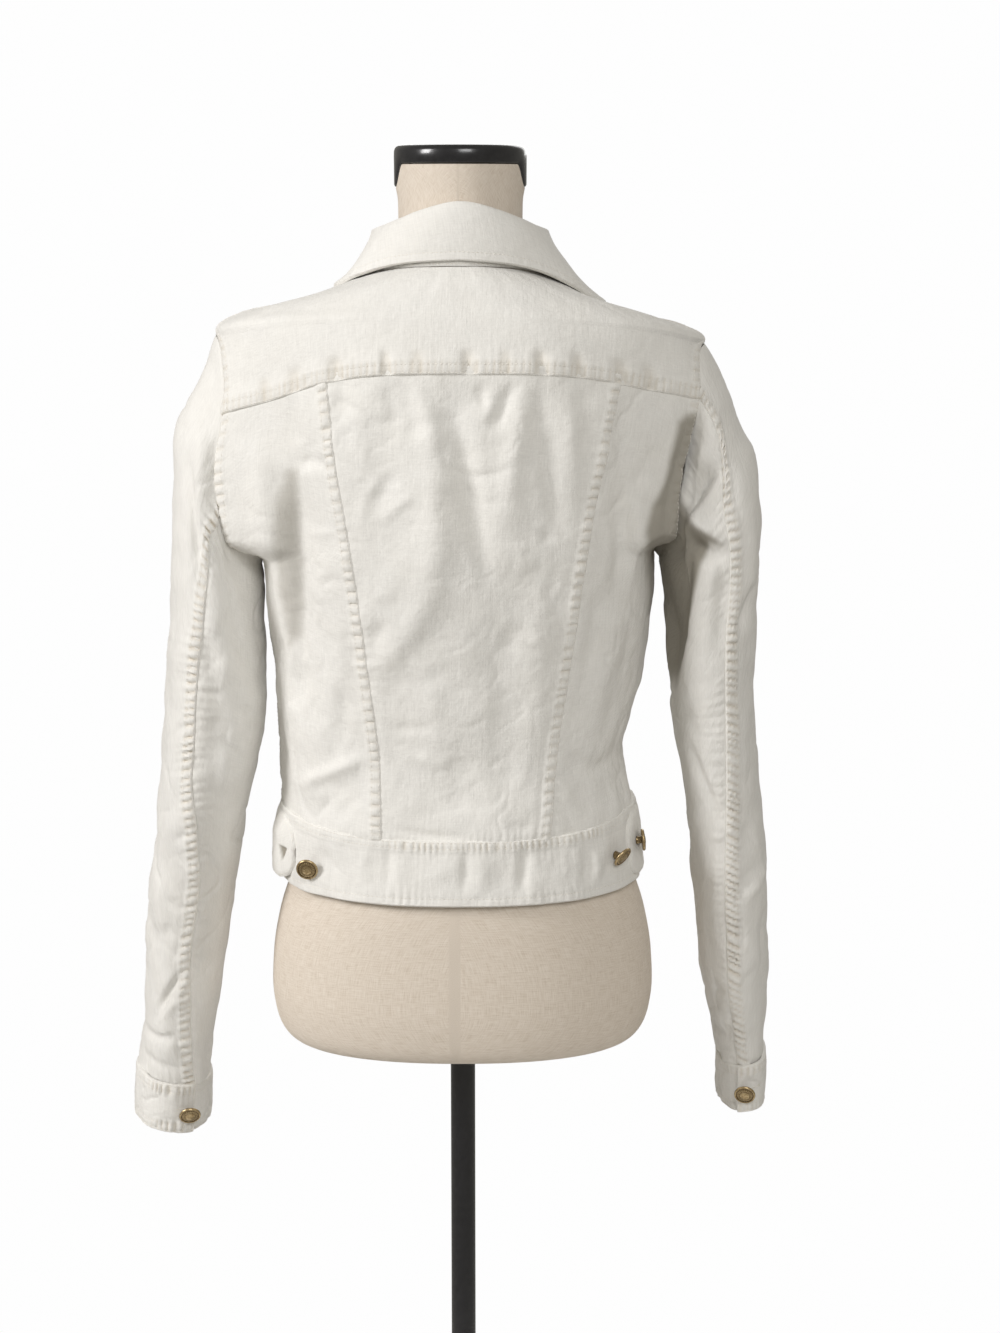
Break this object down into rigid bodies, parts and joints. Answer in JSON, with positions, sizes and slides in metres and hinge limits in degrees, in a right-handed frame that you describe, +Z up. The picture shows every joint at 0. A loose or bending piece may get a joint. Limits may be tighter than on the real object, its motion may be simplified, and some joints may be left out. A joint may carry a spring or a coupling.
{
  "type": "denim jacket on dress form",
  "caption": "Cropped fitted denim jacket with a turned-down collar, back yoke, long sleeves and a waistband with side tabs, on a limbless dress form with a round base.",
  "frame": {"origin": "centre of the base's underside, on the floor, under the axis of the pole", "axes": "+Z up; the jacket's front looks along +Y and its back along -Y, so +X is the wearer's right"},
  "size_m": [0.5103, 0.32, 1.5028],
  "materials": {
    "white_denim": "white cotton twill, felled and topstitched seams",
    "antique_brass": "antique brass shank buttons",
    "beige_linen": "plain woven linen over a moulded form",
    "black_enamel": "gloss black enamel"
  },
  "bodies": {
    "root": {"back_yoke": "white_denim", "back_centre": "white_denim", "back_side_left": "white_denim", "back_side_right": "white_denim", "front_left": "white_denim", "front_right": "white_denim", "front_placket": "white_denim", "waistband_back": "white_denim", "waistband_front_left": "white_denim", "waistband_front_right": "white_denim", "side_tab_left": "white_denim", "side_tab_right": "white_denim", "sleeve_upper_left": "white_denim", "sleeve_upper_right": "white_denim", "sleeve_under_left": "white_denim", "sleeve_under_right": "white_denim", "cuff_left": "white_denim", "cuff_right": "white_denim", "collar_stand": "white_denim", "collar_fall": "white_denim", "front_button_1": "antique_brass", "front_button_2": "antique_brass", "front_button_3": "antique_brass", "front_button_4": "antique_brass", "front_button_5": "antique_brass", "waistband_button": "antique_brass", "tab_button_left_rear": "antique_brass", "tab_button_right_rear": "antique_brass", "tab_button_right_side": "antique_brass", "cuff_button_left": "antique_brass", "cuff_button_right": "antique_brass", "form_torso": "beige_linen", "form_neck_cap": "black_enamel", "form_pole": "black_enamel", "form_base": "black_enamel"}
  },
  "joints": []
}
